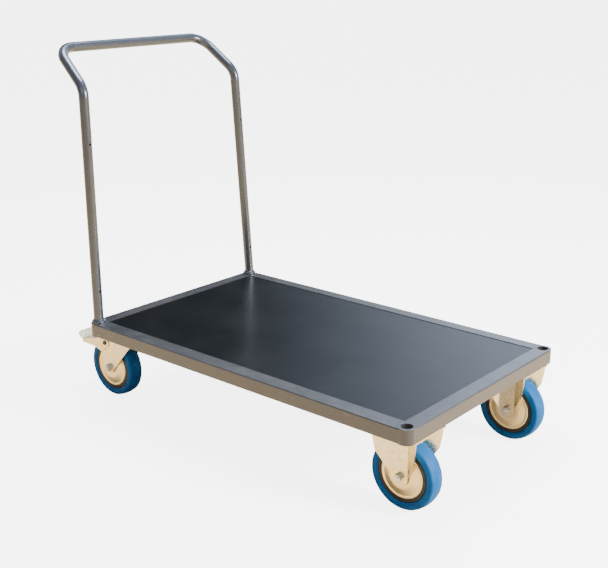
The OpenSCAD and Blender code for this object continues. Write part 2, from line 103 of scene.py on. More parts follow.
# %% Place the camera
CAMERA_FROM_DECK = Vector((1.5360, -1.8249, 0.8837))
LOOK_TURN = math.radians(49.415)
LOOK_DOWN = math.radians(17.515)
CAMERA_ROLL = math.radians(-0.211)
CAMERA_LENS = 60.84


def add_camera():
    camera = bpy.data.objects.new("camera", bpy.data.cameras.new("camera"))
    bpy.context.collection.objects.link(camera)
    camera.data.lens = CAMERA_LENS
    camera.data.sensor_width = 36.0
    look = Vector((
        -math.cos(LOOK_DOWN) * math.cos(LOOK_TURN),
        math.cos(LOOK_DOWN) * math.sin(LOOK_TURN),
        -math.sin(LOOK_DOWN),
    ))
    turn = look.to_track_quat("-Z", "Y").to_matrix().to_4x4()
    place = Vector((DECK_MIDDLE.x, DECK_MIDDLE.y, RIM_TOP)) + CAMERA_FROM_DECK
    camera.matrix_world = Matrix.Translation(place) @ turn @ Matrix.Rotation(CAMERA_ROLL, 4, "Z")
    bpy.context.scene.camera = camera
    return camera


camera = add_camera()
print("the camera stands at", camera.matrix_world.translation)

# %% [markdown]
# ## Nodes in one line
# A material or a world is a tree of nodes. Two helpers keep the trees below short: one adds a
# node and fills its inputs, the other makes a colour mix. An input may be a plain value, which
# is set on the socket, or another node's output, which is linked to it.

# %% Helpers for node trees
def add_node(tree, kind, settings=None, **inputs):
    """Adds a node, sets its settings, and fills its inputs. An input is given by its name, with
    _ for a space, or as i and its number where a node has several inputs of one name."""
    node = tree.nodes.new("ShaderNode" + kind)
    for key, value in (settings or {}).items():
        setattr(node, key, value)
    for key, value in inputs.items():
        numbered = key[0] == "i" and key[1:].isdigit()
        fill(tree, node.inputs[int(key[1:]) if numbered else key.replace("_", " ")], value)
    return node


def fill(tree, socket, value):
    """Links another node's output to a socket, or sets a plain value on it."""
    if isinstance(value, bpy.types.NodeSocket):
        tree.links.new(value, socket)
    else:
        socket.default_value = value


def mix_colours(tree, mask, first, second):
    """The first colour where the mask is 0, the second where it is 1."""
    node = add_node(tree, "Mix", {"data_type": "RGBA"}, i0=mask, i6=first, i7=second)
    return node.outputs[2]


def spread(tree, value, low, high, to_low=0.0, to_high=1.0, smooth=False):
    """Stretches a value from one range to another, and holds it there."""
    settings = {"interpolation_type": "SMOOTHSTEP" if smooth else "LINEAR"}
    node = add_node(
        tree, "MapRange", settings, Value=value,
        From_Min=low, From_Max=high, To_Min=to_low, To_Max=to_high)
    return node.outputs["Result"]


def calculate(tree, operation, first, second):
    return add_node(tree, "Math", {"operation": operation}, i0=first, i1=second).outputs[0]


# %% [markdown]
# ## Light and floor
# Painted steel, zinc and film mostly show what stands around them. The surroundings here are
# a studio: a cool sky above, a warm glow near the floor, and a dark wall behind the cart that
# the glossy deck picks up. Beside the wall is a bright window: together they turn the deck
# from black at the handle to grey in front. The side that the camera stands on is dimmer.
# All of these are drawn by the direction's compass angle and its height above the horizon.
# Matt surfaces get about half as much of this light as mirrors do, and the camera sees plain
# white paper instead.

# %% Build the surroundings
SKY_COLOUR = (0.66, 0.80, 1.0, 1)
HORIZON_COLOUR = (0.95, 0.90, 0.84, 1)
GROUND_COLOUR = (0.90, 0.74, 0.56, 1)
WALL_COLOUR = (0.008, 0.008, 0.010, 1)
WINDOW_COLOUR = (0.50, 0.70, 1.0, 1)
STUDIO_STRENGTH = 1.0
PAPER_STRENGTH = 8.0
WINDOW_GAIN = 1.7
WINDOW_TINT = 0.6
CAMERA_SIDE_LOSS = 0.5
DIFFUSE_LOSS = 0.45

# Each pair of degrees says where a change starts and where it is complete. All are compass
# angles, turning from +X toward +Y, but WALL_TOP, which is a height above the horizon.
WALL_BEGINS, WALL_ENDS, WALL_TOP = (112, 136), (165, 179), (36, 62)
WINDOW_BEGINS = (86, 108)
CAMERA_SIDE_BEGINS, CAMERA_SIDE_ENDS = (-175, -140), (-40, -15)


def fade(tree, angle, degrees, to_low=0.0, to_high=1.0):
    """A smooth change of a value between two compass angles."""
    low, high = (math.radians(degree) for degree in degrees)
    return spread(tree, angle, low, high, to_low, to_high, smooth=True)


def add_world():
    world = bpy.data.worlds.new("studio")
    bpy.context.scene.world = world
    world.use_nodes = True
    tree = world.node_tree
    tree.nodes.clear()
    direction = add_node(tree, "SeparateXYZ", i0=add_node(tree, "TexCoord").outputs["Generated"])
    height = direction.outputs["Z"]
    compass = calculate(tree, "ARCTAN2", direction.outputs["Y"], direction.outputs["X"])
    low = mix_colours(tree, spread(tree, height, -0.3, 0.05), GROUND_COLOUR, HORIZON_COLOUR)
    colour = mix_colours(tree, spread(tree, height, 0.1, 0.6), low, SKY_COLOUR)
    near_edge = fade(tree, compass, WALL_BEGINS, 1.0, 0.0)
    far_edge = fade(tree, compass, WALL_ENDS)
    wall_low, wall_high = (math.sin(math.radians(degree)) for degree in WALL_TOP)
    above = spread(tree, height, wall_low, wall_high, smooth=True)
    open_air = calculate(tree, "MAXIMUM", calculate(tree, "MAXIMUM", near_edge, far_edge), above)
    colour = mix_colours(tree, open_air, WALL_COLOUR, colour)
    window = calculate(tree, "MULTIPLY", fade(tree, compass, WINDOW_BEGINS), near_edge)
    side = calculate(
        tree, "MULTIPLY", fade(tree, compass, CAMERA_SIDE_BEGINS),
        fade(tree, compass, CAMERA_SIDE_ENDS, 1.0, 0.0))
    lit = calculate(tree, "ADD", calculate(tree, "MULTIPLY", window, WINDOW_GAIN), 1.0)
    lit = calculate(tree, "SUBTRACT", lit, calculate(tree, "MULTIPLY", side, CAMERA_SIDE_LOSS))
    rays = add_node(tree, "LightPath")
    lost = calculate(tree, "MULTIPLY", rays.outputs["Is Diffuse Ray"], DIFFUSE_LOSS)
    fill_light = calculate(tree, "SUBTRACT", 1.0, lost)
    lit = calculate(tree, "MULTIPLY", lit, calculate(tree, "MULTIPLY", fill_light, STUDIO_STRENGTH))
    tint = calculate(tree, "MULTIPLY", window, WINDOW_TINT)
    colour = mix_colours(tree, tint, colour, WINDOW_COLOUR)
    studio = add_node(tree, "Background", Color=colour, Strength=lit)
    paper = add_node(tree, "Background", Color=(1, 1, 1, 1), Strength=PAPER_STRENGTH)
    both = add_node(
        tree, "MixShader",
        i0=rays.outputs["Is Camera Ray"], i1=studio.outputs[0], i2=paper.outputs[0])
    add_node(tree, "OutputWorld", Surface=both.outputs[0])


add_world()
print("surroundings built")

# %% [markdown]
# The floor is plain and pale. Its shader glows to the camera, so it stays pale while the cart
# keeps a soft shadow, and gives mirror rays a warm glow of their own. That glow stands for
# the sunlit ground that bright zinc shows in its lower half. It all but vanishes under the
# platform, so the far wheels look a little darker than the near ones.
#
# Three rectangular lamps add the highlights: a strong one before the cart's front end, a cool
# one over the deck, and a weak one on the side that the camera stands on.

# %% Add the floor and the lamps
FLOOR_SIZE = 60
FLOOR_GAP = 0.5 * MM
FLOOR_SEEN = (0.90, 0.90, 0.90, 1)
FLOOR_UNSEEN = (0.56, 0.46, 0.36, 1)
FLOOR_GLOW = 5.0
MIRROR_GLOW_COLOUR = (1.0, 0.72, 0.34, 1)
MIRROR_GLOW = 1.45
MIRROR_GLOW_LOST = 1.40
# The shade under the cart is whole to the first distance along an axis and gone at the second.
SHADE_ALONG_X = (0.46, 0.60)
SHADE_ALONG_Y = (0.26, 0.36)


def shade_along(tree, place, reach):
    distance = calculate(tree, "ABSOLUTE", place, 0.0)
    return spread(tree, distance, reach[0], reach[1], 1.0, 0.0, smooth=True)


def add_floor():
    bpy.ops.object.select_all(action="DESELECT")
    bpy.ops.mesh.primitive_plane_add(size=FLOOR_SIZE, location=(0, 0, CAD_BOX[0][2] - FLOOR_GAP))
    floor = bpy.context.object
    floor.name = "floor"
    material = bpy.data.materials.new("floor_paper")
    material.use_nodes = True
    tree = material.node_tree
    tree.nodes.clear()
    seen = add_node(tree, "LightPath").outputs["Is Camera Ray"]
    colour = mix_colours(tree, seen, FLOOR_UNSEEN, FLOOR_SEEN)
    paper = add_node(tree, "BsdfDiffuse", Color=colour)
    shine = calculate(tree, "MULTIPLY", seen, FLOOR_GLOW)
    glow = add_node(tree, "Emission", Color=(1, 1, 1, 1), Strength=shine)
    mirrored = add_node(tree, "LightPath").outputs["Is Glossy Ray"]
    spot = add_node(tree, "SeparateXYZ", i0=add_node(tree, "TexCoord").outputs["Object"]).outputs
    under = calculate(
        tree, "MULTIPLY", shade_along(tree, spot["X"], SHADE_ALONG_X),
        shade_along(tree, spot["Y"], SHADE_ALONG_Y))
    lost = calculate(tree, "MULTIPLY", under, MIRROR_GLOW_LOST)
    sunlit = calculate(tree, "MULTIPLY", mirrored, calculate(tree, "SUBTRACT", MIRROR_GLOW, lost))
    warm = add_node(tree, "Emission", Color=MIRROR_GLOW_COLOUR, Strength=sunlit)
    both = add_node(tree, "AddShader", i0=paper.outputs[0], i1=glow.outputs[0])
    both = add_node(tree, "AddShader", i0=both.outputs[0], i1=warm.outputs[0])
    add_node(tree, "OutputMaterial", Surface=both.outputs[0])
    floor.data.materials.append(material)


def add_lamp(name, place, target, size, power, colour):
    lamp = bpy.data.lights.new(name, "AREA")
    lamp.shape = "RECTANGLE"
    lamp.size, lamp.size_y = size
    lamp.energy = power
    lamp.color = colour
    holder = bpy.data.objects.new(name, lamp)
    bpy.context.collection.objects.link(holder)
    holder.location = place
    holder.rotation_euler = (Vector(target) - Vector(place)).to_track_quat("-Z", "Y").to_euler()
    return holder


add_floor()
add_lamp(
    "front_softbox", place=(3.6, 0.9, 1.9), target=(0.3, 0, 0.1), size=(1.1, 1.1),
    power=270, colour=(1.0, 0.98, 0.95))
add_lamp(
    "top_softbox", place=(-0.5, 0.3, 3.0), target=(-0.3, 0, 0.2), size=(1.4, 1.4),
    power=95, colour=(0.86, 0.93, 1.0))
add_lamp(
    "side_softbox", place=(1.2, -3.6, 2.6), target=(0, 0, 0.4), size=(2.0, 1.2),
    power=16, colour=(1.0, 0.97, 0.92))
print("lamps and floor are in place")

# %% [markdown]
# ## Shared effects
# Real surfaces are never one flat colour. Five small effects are used by several materials:
# cloudy mottle, fine grain, scratches, dust that settles where a surface looks up, and wear
# along the edges. Each is built once as a node group with named inputs, then placed where it
# is needed.

# %% Helper that starts a node group
def start_group(name, inputs, outputs):
    """inputs are (name, default) for plain values; outputs are (name, socket kind)."""
    group = bpy.data.node_groups.new(name, "ShaderNodeTree")
    for label, default in inputs:
        socket = group.interface.new_socket(label, in_out="INPUT", socket_type="NodeSocketFloat")
        socket.default_value = default
    for label, kind in outputs:
        group.interface.new_socket(label, in_out="OUTPUT", socket_type=kind)
    return group, group.nodes.new("NodeGroupInput"), group.nodes.new("NodeGroupOutput")


def place_group(tree, group, **values):
    node = tree.nodes.new("ShaderNodeGroup")
    node.node_tree = group
    for key, value in values.items():
        node.inputs[key.replace("_", " ")].default_value = value
    return node


def noise(tree, place, scale, detail=3.0, roughness=0.5):
    node = add_node(tree, "TexNoise", Vector=place, Scale=scale, Detail=detail, Roughness=roughness)
    return node.outputs["Fac"]


# %% Mottle: soft cloudy patches, for paint and zinc that took unevenly
def make_mottle():
    group, given, out = start_group(
        "mottle", [("Scale", 12.0), ("Contrast", 0.5)], [("Mask", "NodeSocketFloat")])
    place = add_node(group, "TexCoord").outputs["Object"]
    cloud = noise(group, place, given.outputs["Scale"], 4.0, 0.6)
    around = calculate(group, "SUBTRACT", cloud, 0.5)
    gain = calculate(group, "MULTIPLY", given.outputs["Contrast"], 6.0)
    stretched = calculate(group, "ADD", calculate(group, "MULTIPLY", around, gain), 0.5)
    fill(group, out.inputs["Mask"], spread(group, stretched, 0.0, 1.0))
    return group


MOTTLE = make_mottle()
print("mottle has", len(MOTTLE.nodes), "nodes")


# %% Grain: a fine height pattern that can be stretched along one axis
def make_grain():
    group, given, out = start_group(
        "grain", [("Scale", 600.0), ("Along X", 1.0), ("Along Y", 1.0), ("Along Z", 1.0)],
        [("Height", "NodeSocketFloat")])
    place = add_node(group, "TexCoord").outputs["Object"]
    stretch = add_node(
        group, "CombineXYZ",
        i0=given.outputs["Along X"], i1=given.outputs["Along Y"], i2=given.outputs["Along Z"])
    stretched = add_node(
        group, "VectorMath", {"operation": "MULTIPLY"}, i0=place, i1=stretch.outputs[0])
    height = noise(group, stretched.outputs[0], given.outputs["Scale"], 2.0, 0.55)
    fill(group, out.inputs["Height"], height)
    return group


GRAIN = make_grain()
print("grain has", len(GRAIN.nodes), "nodes")


# %% Scratches: thin broken lines in two directions
def make_scratches():
    group, given, out = start_group(
        "scratches", [("Scale", 30.0), ("Amount", 0.4)], [("Mask", "NodeSocketFloat")])
    place = add_node(group, "TexCoord").outputs["Object"]
    lines = []
    for turn, stretch in ((0.5, (1.0, 26.0, 8.0)), (-0.9, (1.0, 34.0, 11.0))):
        turned = add_node(group, "Mapping", Vector=place, Rotation=(0.2, 0.1, turn), Scale=stretch)
        grain = noise(group, turned.outputs[0], given.outputs["Scale"], 1.0, 0.4)
        lines.append(spread(group, grain, 0.70, 0.74))
    either = calculate(group, "MAXIMUM", lines[0], lines[1])
    patches = spread(group, noise(group, place, 7.0, 2.0), 0.45, 0.65)
    broken = calculate(group, "MULTIPLY", either, patches)
    fill(group, out.inputs["Mask"], calculate(group, "MULTIPLY", broken, given.outputs["Amount"]))
    return group


SCRATCHES = make_scratches()
print("scratches have", len(SCRATCHES.nodes), "nodes")


# %% Dust: a thin film where a surface looks up, broken by noise
def make_dust():
    group, given, out = start_group(
        "dust", [("Amount", 0.3), ("Scale", 9.0)], [("Mask", "NodeSocketFloat")])
    place = add_node(group, "TexCoord").outputs["Object"]
    facing = add_node(group, "SeparateXYZ", i0=add_node(group, "NewGeometry").outputs["Normal"])
    upward = spread(group, facing.outputs["Z"], 0.3, 1.0)
    cloud = spread(group, noise(group, place, given.outputs["Scale"], 5.0, 0.65), 0.38, 0.72)
    specks = spread(group, noise(group, place, 900.0, 1.0), 0.66, 0.72, 0.0, 0.6)
    film = calculate(group, "MAXIMUM", cloud, specks)
    settled = calculate(group, "MULTIPLY", film, upward)
    settled = calculate(group, "MULTIPLY", settled, given.outputs["Amount"])
    fill(group, out.inputs["Mask"], settled)
    return group


DUST = make_dust()
print("dust has", len(DUST.nodes), "nodes")


# %% Edge wear: about a millimetre along every edge, broken by noise
def make_edge_wear():
    group, given, out = start_group(
        "edge wear", [("Reach", 0.0012), ("Amount", 0.6)], [("Mask", "NodeSocketFloat")])
    rounded = add_node(group, "Bevel", {"samples": 4}, Radius=given.outputs["Reach"]).outputs[0]
    true_face = add_node(group, "NewGeometry").outputs["Normal"]
    compare = add_node(
        group, "VectorMath", {"operation": "DOT_PRODUCT"}, i0=rounded, i1=true_face)
    agree = compare.outputs["Value"]
    at_edge = spread(group, agree, 0.80, 0.97, 1.0, 0.0)
    place = add_node(group, "TexCoord").outputs["Object"]
    broken = spread(group, noise(group, place, 70.0, 4.0, 0.6), 0.42, 0.60)
    worn = calculate(group, "MULTIPLY", at_edge, broken)
    worn = calculate(group, "MULTIPLY", worn, given.outputs["Amount"])
    fill(group, out.inputs["Mask"], worn)
    return group


EDGE_WEAR = make_edge_wear()
print("edge wear has", len(EDGE_WEAR.nodes), "nodes")


# %% [markdown]
# ## Materials
# A maker would name these finishes on a drawing: grey metallic paint on the rim, the same
# paint with more gloss on the tube, a black film-faced panel, blue elastic rubber, black
# nylon, and bright zinc. Every recipe starts the same way, so a helper makes the empty
# material, and each recipe then links its own colour, roughness and bump.

# %% Helper that starts a material
def start_material(name, **plain):
    material = bpy.data.materials.new(name)
    material.use_nodes = True
    tree = material.node_tree
    shader = tree.nodes["Principled BSDF"]
    for key, value in plain.items():
        shader.inputs[key.replace("_", " ")].default_value = value
    return material, tree, shader


def add_bump(tree, shader, height, strength, distance):
    bump = add_node(tree, "Bump", Height=height, Strength=strength, Distance=distance)
    fill(tree, shader.inputs["Normal"], bump.outputs[0])


DUST_COLOUR = (0.42, 0.40, 0.37, 1)
BARE_METAL = (0.30, 0.29, 0.28, 1)
FILM_SCRATCH = (0.075, 0.077, 0.080, 1)
ZINC_STAIN = (0.52, 0.46, 0.38, 1)
ZINC_SCRATCH = (0.40, 0.36, 0.31, 1)


# %% Grey metallic paint, for the rim and for the push bar
def make_paint(name, deep, light, roughness, metallic, dust, orange_peel):
    material, tree, shader = start_material(
        name, Metallic=metallic, Coat_Weight=0.9, Coat_Roughness=0.24)
    cloud = place_group(tree, MOTTLE, Scale=16.0, Contrast=0.45).outputs["Mask"]
    flakes = spread(tree, place_group(tree, GRAIN, Scale=2600.0).outputs["Height"], 0.35, 0.65)
    mean = calculate(tree, "MULTIPLY", calculate(tree, "ADD", cloud, flakes), 0.5)
    base = mix_colours(tree, mean, deep, light)
    worn = place_group(tree, SCRATCHES, Scale=34.0, Amount=0.45).outputs["Mask"]
    rubbed = place_group(tree, EDGE_WEAR, Reach=0.0011, Amount=0.55).outputs["Mask"]
    worn = calculate(tree, "MAXIMUM", worn, rubbed)
    base = mix_colours(tree, worn, base, BARE_METAL)
    film = place_group(tree, DUST, Amount=dust, Scale=11.0).outputs["Mask"]
    fill(tree, shader.inputs["Base Color"], mix_colours(tree, film, base, DUST_COLOUR))
    uneven = spread(tree, cloud, 0, 1, roughness - 0.05, roughness + 0.05)
    dull = calculate(tree, "ADD", uneven, calculate(tree, "MULTIPLY", film, 0.3))
    fill(tree, shader.inputs["Roughness"], dull)
    peel = place_group(tree, GRAIN, Scale=orange_peel).outputs["Height"]
    add_bump(tree, shader, peel, strength=0.035, distance=0.0003)
    return material


FRAME_PAINT = make_paint(
    "frame_paint", deep=(0.046, 0.045, 0.050, 1), light=(0.074, 0.072, 0.080, 1),
    roughness=0.42, metallic=0.20, dust=0.12, orange_peel=260.0)
BAR_PAINT = make_paint(
    "bar_paint", deep=(0.056, 0.064, 0.084, 1), light=(0.078, 0.088, 0.112, 1),
    roughness=0.25, metallic=0.50, dust=0.05, orange_peel=420.0)
print("paint made")


# %% Black film on the deck panel
def make_deck_film():
    material, tree, shader = start_material(
        "film_faced_deck", Coat_Weight=0.2, Coat_Roughness=0.22)
    cloud = place_group(tree, MOTTLE, Scale=5.0, Contrast=0.5).outputs["Mask"]
    base = mix_colours(tree, cloud, (0.0022, 0.0025, 0.0032, 1), (0.0040, 0.0044, 0.0056, 1))
    worn = place_group(tree, SCRATCHES, Scale=13.0, Amount=0.07).outputs["Mask"]
    base = mix_colours(tree, worn, base, FILM_SCRATCH)
    film = place_group(tree, DUST, Amount=0.012, Scale=6.0).outputs["Mask"]
    fill(tree, shader.inputs["Base Color"], mix_colours(tree, film, base, DUST_COLOUR))
    uneven = spread(tree, cloud, 0, 1, 0.305, 0.335)
    rough = calculate(tree, "ADD", uneven, calculate(tree, "MULTIPLY", worn, 0.4))
    fill(tree, shader.inputs["Roughness"], rough)
    fibres = place_group(tree, GRAIN, Scale=480.0, Along_X=0.35).outputs["Height"]
    add_bump(tree, shader, fibres, strength=0.10, distance=0.0004)
    return material


DECK_FILM = make_deck_film()
print("deck film made")


# %% Rubber and plastics
def make_moulded(name, deep, light, roughness, grain_scale, bump, dust, gloss=0.5):
    material, tree, shader = start_material(name, Specular_IOR_Level=gloss)
    cloud = place_group(tree, MOTTLE, Scale=40.0, Contrast=0.4).outputs["Mask"]
    base = mix_colours(tree, cloud, deep, light)
    film = place_group(tree, DUST, Amount=dust, Scale=30.0).outputs["Mask"]
    fill(tree, shader.inputs["Base Color"], mix_colours(tree, film, base, DUST_COLOUR))
    uneven = spread(tree, cloud, 0, 1, roughness - 0.05, roughness + 0.06)
    fill(tree, shader.inputs["Roughness"], uneven)
    skin = place_group(tree, GRAIN, Scale=grain_scale).outputs["Height"]
    add_bump(tree, shader, skin, strength=bump, distance=0.0005)
    return material


BLUE_RUBBER = make_moulded(
    "blue_rubber", deep=(0.0015, 0.112, 0.370, 1), light=(0.0025, 0.172, 0.500, 1),
    roughness=0.55, grain_scale=900.0, bump=0.10, dust=0.02, gloss=0.28)
BLACK_NYLON = make_moulded(
    "black_nylon", deep=(0.008, 0.008, 0.008, 1), light=(0.016, 0.016, 0.017, 1),
    roughness=0.44, grain_scale=700.0, bump=0.20, dust=0.12)
BLACK_PLASTIC = make_moulded(
    "black_plastic", deep=(0.010, 0.010, 0.010, 1), light=(0.018, 0.018, 0.018, 1),
    roughness=0.50, grain_scale=600.0, bump=0.20, dust=0.10)
BRAKE_RUBBER = make_moulded(
    "brake_pad", deep=(0.012, 0.012, 0.012, 1), light=(0.024, 0.024, 0.025, 1),
    roughness=0.68, grain_scale=500.0, bump=0.35, dust=0.20)
print("rubber and plastics made")


# %% Zinc plate, with faint lines from rolling and a warm or cool cast
def make_zinc(name, warm, cool, roughness, lines, dust=0.15):
    material, tree, shader = start_material(name, Metallic=1.0)
    cloud = place_group(tree, MOTTLE, Scale=26.0, Contrast=0.6).outputs["Mask"]
    base = mix_colours(tree, cloud, warm, cool)
    fine = place_group(tree, MOTTLE, Scale=120.0, Contrast=0.8).outputs["Mask"]
    base = mix_colours(tree, calculate(tree, "MULTIPLY", fine, 0.25), base, ZINC_STAIN)
    worn = place_group(tree, SCRATCHES, Scale=60.0, Amount=0.5).outputs["Mask"]
    base = mix_colours(tree, worn, base, ZINC_SCRATCH)
    film = place_group(tree, DUST, Amount=dust, Scale=30.0).outputs["Mask"]
    fill(tree, shader.inputs["Base Color"], mix_colours(tree, film, base, DUST_COLOUR))
    uneven = spread(tree, fine, 0, 1, roughness - 0.06, roughness + 0.08)
    rough = calculate(tree, "ADD", uneven, calculate(tree, "MULTIPLY", worn, 0.2))
    fill(tree, shader.inputs["Roughness"], rough)
    rolled = place_group(
        tree, GRAIN, Scale=420.0, Along_X=lines[0], Along_Y=lines[1], Along_Z=lines[2])
    add_bump(tree, shader, rolled.outputs["Height"], strength=0.10, distance=0.0004)
    return material


CASTER_ZINC = make_zinc(
    "caster_zinc", warm=(0.98, 0.82, 0.46, 1), cool=(0.93, 0.86, 0.68, 1),
    roughness=0.25, lines=(1.0, 1.0, 0.15), dust=0.05)
FASTENER_ZINC = make_zinc(
    "zinc_fasteners", warm=(0.80, 0.78, 0.72, 1), cool=(0.66, 0.70, 0.76, 1),
    roughness=0.28, lines=(1.0, 1.0, 1.0))
BEARING_STEEL = make_zinc(
    "bearing_steel", warm=(0.50, 0.50, 0.52, 1), cool=(0.60, 0.60, 0.62, 1),
    roughness=0.22, lines=(1.0, 0.1, 1.0))
DARK_RIVET = make_zinc(
    "dark_rivet", warm=(0.030, 0.028, 0.026, 1), cool=(0.055, 0.052, 0.050, 1),
    roughness=0.45, lines=(1.0, 1.0, 1.0), dust=0.05)
print("zinc and steels made")


# %% [markdown]
# A spun disc keeps fine rings from the lathe. The rings follow the distance from the axle,
# so each wheel has its own copy of this recipe, with a Mapping node centred on its axle.

# %% Spun zinc for the guard discs
def make_spun_zinc(wheel):
    material, tree, shader = start_material("guard_zinc_" + wheel, Metallic=1.0)
    axle = AXLE[wheel]
    place = add_node(tree, "TexCoord").outputs["Object"]
    centred = add_node(
        tree, "Mapping", Vector=place, Location=(-axle.x, 0.0, -axle.z), Scale=(1.0, 0.0, 1.0))
    length = add_node(tree, "VectorMath", {"operation": "LENGTH"}, i0=centred.outputs[0])
    far = length.outputs["Value"]
    ring_place = add_node(tree, "CombineXYZ", i0=far).outputs[0]
    rings = noise(tree, ring_place, 900.0, 3.0, 0.6)
    wide = noise(tree, ring_place, 110.0, 2.0, 0.5)
    cloud = place_group(tree, MOTTLE, Scale=24.0, Contrast=0.6).outputs["Mask"]
    base = mix_colours(tree, cloud, (0.98, 0.80, 0.42, 1), (0.96, 0.82, 0.52, 1))
    base = mix_colours(tree, spread(tree, wide, 0.35, 0.7, 0.0, 0.35), base, (0.80, 0.64, 0.45, 1))
    film = place_group(tree, DUST, Amount=0.12, Scale=30.0).outputs["Mask"]
    fill(tree, shader.inputs["Base Color"], mix_colours(tree, film, base, DUST_COLOUR))
    fill(tree, shader.inputs["Roughness"], spread(tree, rings, 0.3, 0.7, 0.26, 0.40))
    turned = calculate(tree, "ADD", rings, wide)
    add_bump(tree, shader, turned, strength=0.16, distance=0.0004)
    return material


SPUN_ZINC = {wheel: make_spun_zinc(wheel) for wheel in WHEELS}
MATERIALS = {
    "frame_paint": FRAME_PAINT, "bar_paint": BAR_PAINT, "film_faced_deck": DECK_FILM,
    "blue_rubber": BLUE_RUBBER, "black_nylon": BLACK_NYLON, "black_plastic": BLACK_PLASTIC,
    "brake_pad": BRAKE_RUBBER, "caster_zinc": CASTER_ZINC, "zinc_fasteners": FASTENER_ZINC,
    "bearing_steel": BEARING_STEEL, "dark_rivet": DARK_RIVET,
}
print("spun discs made for", sorted(SPUN_ZINC))


# %% Give every loaded piece its finish
def finish_for(name):
    slot = SLOT_OF[name]
    if slot == "guard_zinc":
        return SPUN_ZINC[name.rsplit("_", 1)[0]]
    return MATERIALS[slot]


for name, node in NODES.items():
    for slot in node.material_slots:
        slot.material = finish_for(name)
print(len(NODES), "pieces have their finish")

# %% [markdown]
# ## Softened sheet edges
# Punched and folded sheet is never knife-sharp: the press leaves a small radius, and that
# radius is what catches the light. The sheet steel, sockets, collars, bolts, nuts and rivets
# and the deck panel are copied from their design solids. A copy's loose triangles are merged
# and its flat faces joined, and a Bevel modifier rounds every sharp edge. A Weighted Normal
# modifier keeps the large faces looking flat between the rounded edges. The copy then stands
# for the design piece, at exactly the same place.

# %% Helper that copies a piece and rounds its edges
def select_only(piece):
    bpy.ops.object.select_all(action="DESELECT")
    piece.select_set(True)
    bpy.context.view_layer.objects.active = piece


def join_to_cart(piece, body, material):
    """Gives a finished piece its finish, and lets it move with its body."""
    piece.data.materials.clear()
    piece.data.materials.append(material)
    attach(piece, body)


def copy_to(pattern, name, place, turn=0.0):
    """A copy whose own mesh is turned round Z and moved, while its object stays at the origin."""
    piece = bpy.data.objects.new(name, pattern.data.copy())
    bpy.context.collection.objects.link(piece)
    piece.data.transform(Matrix.Translation(place) @ Matrix.Rotation(turn, 4, "Z"))
    return piece


MERGE_DISTANCE = 0.004 * MM
FLAT_WITHIN = math.radians(0.3)
SHARP_FROM = math.radians(28.0)
EDGE_SEGMENTS = 2


def soften(name, radius, shape=None):
    """shape is an optional function that changes the copy in edit mode, before the rounding."""
    node = NODES[name]
    piece = bpy.data.objects.new("soft_" + name, node.data.copy())
    bpy.context.collection.objects.link(piece)
    select_only(piece)
    bpy.ops.object.mode_set(mode="EDIT")
    bpy.ops.mesh.select_all(action="SELECT")
    bpy.ops.mesh.customdata_custom_splitnormals_clear()
    bpy.ops.mesh.remove_doubles(threshold=MERGE_DISTANCE)
    bpy.ops.mesh.dissolve_limited(angle_limit=FLAT_WITHIN)
    if shape:
        shape(piece)
    bpy.ops.object.mode_set(mode="OBJECT")
    rounding = piece.modifiers.new("rounding", "BEVEL")
    rounding.width = radius
    rounding.segments = EDGE_SEGMENTS
    rounding.limit_method = "ANGLE"
    rounding.angle_limit = SHARP_FROM
    rounding.use_clamp_overlap = True
    bpy.ops.object.modifier_apply(modifier=rounding.name)
    bpy.ops.object.shade_smooth()
    flats = piece.modifiers.new("flats", "WEIGHTED_NORMAL")
    flats.keep_sharp = True
    bpy.ops.object.modifier_apply(modifier=flats.name)
    join_to_cart(piece, BODY_OF[name], finish_for(name))
    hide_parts(name)
    return piece


# %% Helpers for shaping in edit mode
TOUCHING = 1e-5


def pick(piece, kind, wanted):
    """Selects the vertices, edges or faces for which wanted(element) is true, in edit mode."""
    bpy.ops.mesh.select_mode(type=kind)
    bpy.ops.mesh.select_all(action="DESELECT")
    mesh = bmesh.from_edit_mesh(piece.data)
    elements = {"VERT": mesh.verts, "EDGE": mesh.edges, "FACE": mesh.faces}[kind]
    count = 0
    for element in elements:
        if wanted(element):
            element.select_set(True)
            count += 1
    mesh.select_flush_mode()
    bmesh.update_edit_mesh(piece.data)
    return count


def scale_ring(factor):
    """Scales what is selected away from the axle."""
    bpy.ops.transform.resize(value=(factor, 1, factor), center_override=(0, 0, 0))


def across(edge):
    """True for an edge that runs along the axle."""
    first, second = edge.verts
    return abs(first.co.y - second.co.y) > TOUCHING


# %% The pedal's tip, whose two corners are cut round so that they don't catch a shoe
TIP_RADIUS = 13 * MM
TIP_REACH = 0.5 * MM


def round_tip(piece):
    tip = min(v.co.x for v in piece.data.vertices)
    sides = [v.co.y for v in piece.data.vertices]
    right, left = min(sides) + TIP_REACH, max(sides) - TIP_REACH
    corners = pick(piece, "EDGE", lambda e: all(v.co.x < tip + TIP_REACH for v in e.verts) and (
        all(v.co.y < right for v in e.verts) or all(v.co.y > left for v in e.verts)))
    bpy.ops.mesh.bevel(offset=TIP_RADIUS, segments=5, affect="EDGES", clamp_overlap=True)
    print("rounded", corners, "corners of", piece.name)


